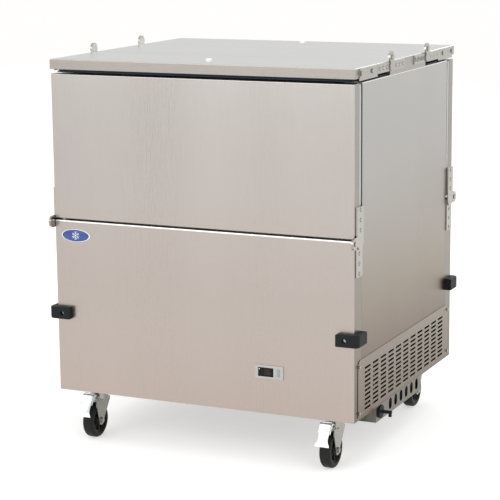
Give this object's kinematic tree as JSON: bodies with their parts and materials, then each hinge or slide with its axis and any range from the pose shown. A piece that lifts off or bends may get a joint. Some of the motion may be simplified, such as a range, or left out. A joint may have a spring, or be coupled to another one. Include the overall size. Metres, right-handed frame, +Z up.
{
  "type": "milk crate cooler",
  "caption": "Stainless-steel school milk crate cooler on casters, with drop-down doors front and rear, folding top lids, side grille and condensing tray.",
  "frame": {"origin": "on the floor under the middle of the cabinet", "axes": "+X to the right side with the grille, +Y to the rear, +Z up"},
  "size_m": [0.9095, 0.813, 1.0655],
  "materials": {
    "stainless": "brushed satin",
    "liner_steel": "brushed satin",
    "foam": "foamed, matte",
    "inner_panel": "smooth",
    "gasket": "soft matte",
    "black_rubber": "matte",
    "wheel_rubber": "matte",
    "zinc_plate": "zinc plated",
    "pedal_zinc": "bright zinc plated",
    "hinge_steel": "satin",
    "white_nylon": "moulded",
    "badge_blue": "gloss enamel",
    "bezel_grey": "satin moulded",
    "display_window": "gloss",
    "key_grey": "matte",
    "black_paint": "satin black",
    "bare_aluminium": "mill finish",
    "copper": "drawn copper tube",
    "galvanised": "galvanised sheet"
  },
  "bodies": {
    "cabinet": {"liner_tub": "liner_steel", "foam_insulation": "foam", "rim_strips": "liner_steel", "side_panel_left": "stainless", "side_panel_right": "stainless", "lower_front_panel": "stainless", "lower_rear_panel": "stainless", "base_deck": "galvanised", "centre_rail": "stainless", "rail_liner": "liner_steel", "side_grille": "stainless", "panel_screws": "hinge_steel", "condenser_pan": "galvanised", "cord_hook": "black_rubber", "cord_gland": "black_rubber", "corner_bumpers": "black_rubber", "badge": "badge_blue", "controller_bezel": "bezel_grey", "controller_window": "display_window", "compressor": "black_paint", "condenser_coil": "black_paint", "condenser_fan_shroud": "black_paint", "refrigerant_lines": "copper", "evaporator_coil": "bare_aluminium", "evaporator_cover": "liner_steel", "floor_racks": "liner_steel", "fixed_hinge_leaves": "hinge_steel", "caster_plates": "zinc_plate"},
    "front_door": {"front_door_skin": "stainless", "front_door_liner": "inner_panel", "front_door_gasket": "gasket", "front_door_hinges": "hinge_steel"},
    "front_lid": {"front_lid_skin": "stainless", "front_lid_liner": "inner_panel", "front_lid_gasket": "gasket", "front_lid_brackets": "hinge_steel", "front_rest_button": "white_nylon"},
    "rear_door": {"rear_door_skin": "stainless", "rear_door_liner": "inner_panel", "rear_door_gasket": "gasket", "rear_door_hinges": "hinge_steel"},
    "rear_lid": {"rear_lid_skin": "stainless", "rear_lid_liner": "inner_panel", "rear_lid_gasket": "gasket", "rear_lid_brackets": "hinge_steel", "rear_rest_button": "white_nylon"},
    "front_left_caster": {"front_left_fork": "zinc_plate"},
    "front_left_wheel": {"front_left_wheel": "wheel_rubber"},
    "front_left_brake": {"front_left_brake_pedal": "pedal_zinc"},
    "rear_left_caster": {"rear_left_fork": "zinc_plate"},
    "rear_left_wheel": {"rear_left_wheel": "wheel_rubber"},
    "front_right_caster": {"front_right_fork": "zinc_plate"},
    "front_right_wheel": {"front_right_wheel": "wheel_rubber"},
    "front_right_brake": {"front_right_brake_pedal": "pedal_zinc"},
    "rear_right_caster": {"rear_right_fork": "zinc_plate"},
    "rear_right_wheel": {"rear_right_wheel": "wheel_rubber"},
    "condenser_fan": {"condenser_fan": "bare_aluminium"},
    "evaporator_fan": {"evaporator_fan": "bare_aluminium"},
    "up_button": {"up_button": "key_grey"},
    "down_button": {"down_button": "key_grey"}
  },
  "joints": [
    {"name": "front_door_hinge", "type": "hinge", "parent": "cabinet", "child": "front_door", "pos_m": [0, -0.391, 0.6055], "axis": [1, 0, 0], "range_deg": [0, 180]},
    {"name": "rear_door_hinge", "type": "hinge", "parent": "cabinet", "child": "rear_door", "pos_m": [0, 0.391, 0.6055], "axis": [-1, 0, 0], "range_deg": [0, 180]},
    {"name": "front_lid_hinge", "type": "hinge", "parent": "cabinet", "child": "front_lid", "pos_m": [0, -0.139, 1.05], "axis": [-1, 0, 0], "range_deg": [0, 183.3]},
    {"name": "rear_lid_hinge", "type": "hinge", "parent": "cabinet", "child": "rear_lid", "pos_m": [0, 0.139, 1.05], "axis": [1, 0, 0], "range_deg": [0, 100]},
    {"name": "front_left_swivel", "type": "hinge", "parent": "cabinet", "child": "front_left_caster", "pos_m": [-0.35, -0.311, 0.12], "axis": [0, 0, 1], "continuous": true},
    {"name": "front_left_roll", "type": "hinge", "parent": "front_left_caster", "child": "front_left_wheel", "pos_m": [-0.35, -0.337, 0.048], "axis": [1, 0, 0], "continuous": true},
    {"name": "front_left_brake_pivot", "type": "hinge", "parent": "front_left_caster", "child": "front_left_brake", "pos_m": [-0.35, -0.353, 0.11], "axis": [-1, 0, 0], "range_deg": [0, 12]},
    {"name": "rear_left_swivel", "type": "hinge", "parent": "cabinet", "child": "rear_left_caster", "pos_m": [-0.35, 0.311, 0.12], "axis": [0, 0, 1], "continuous": true},
    {"name": "rear_left_roll", "type": "hinge", "parent": "rear_left_caster", "child": "rear_left_wheel", "pos_m": [-0.35, 0.285, 0.048], "axis": [1, 0, 0], "continuous": true},
    {"name": "front_right_swivel", "type": "hinge", "parent": "cabinet", "child": "front_right_caster", "pos_m": [0.35, -0.311, 0.12], "axis": [0, 0, 1], "continuous": true},
    {"name": "front_right_roll", "type": "hinge", "parent": "front_right_caster", "child": "front_right_wheel", "pos_m": [0.35, -0.337, 0.048], "axis": [1, 0, 0], "continuous": true},
    {"name": "front_right_brake_pivot", "type": "hinge", "parent": "front_right_caster", "child": "front_right_brake", "pos_m": [0.35, -0.353, 0.11], "axis": [-1, 0, 0], "range_deg": [0, 12]},
    {"name": "rear_right_swivel", "type": "hinge", "parent": "cabinet", "child": "rear_right_caster", "pos_m": [0.35, 0.311, 0.12], "axis": [0, 0, 1], "continuous": true},
    {"name": "rear_right_roll", "type": "hinge", "parent": "rear_right_caster", "child": "rear_right_wheel", "pos_m": [0.35, 0.285, 0.048], "axis": [1, 0, 0], "continuous": true},
    {"name": "condenser_fan_spin", "type": "hinge", "parent": "cabinet", "child": "condenser_fan", "pos_m": [0.36, -0.04, 0.184], "axis": [1, 0, 0], "continuous": true},
    {"name": "evaporator_fan_spin", "type": "hinge", "parent": "cabinet", "child": "evaporator_fan", "pos_m": [-0.33, 0, 0.568], "axis": [1, 0, 0], "continuous": true},
    {"name": "up_button_press", "type": "slide", "parent": "cabinet", "child": "up_button", "axis": [0, 1, 0], "range_m": [0, 0.001], "stiffness_N_per_m": 300},
    {"name": "down_button_press", "type": "slide", "parent": "cabinet", "child": "down_button", "axis": [0, 1, 0], "range_m": [0, 0.001], "stiffness_N_per_m": 300}
  ]
}
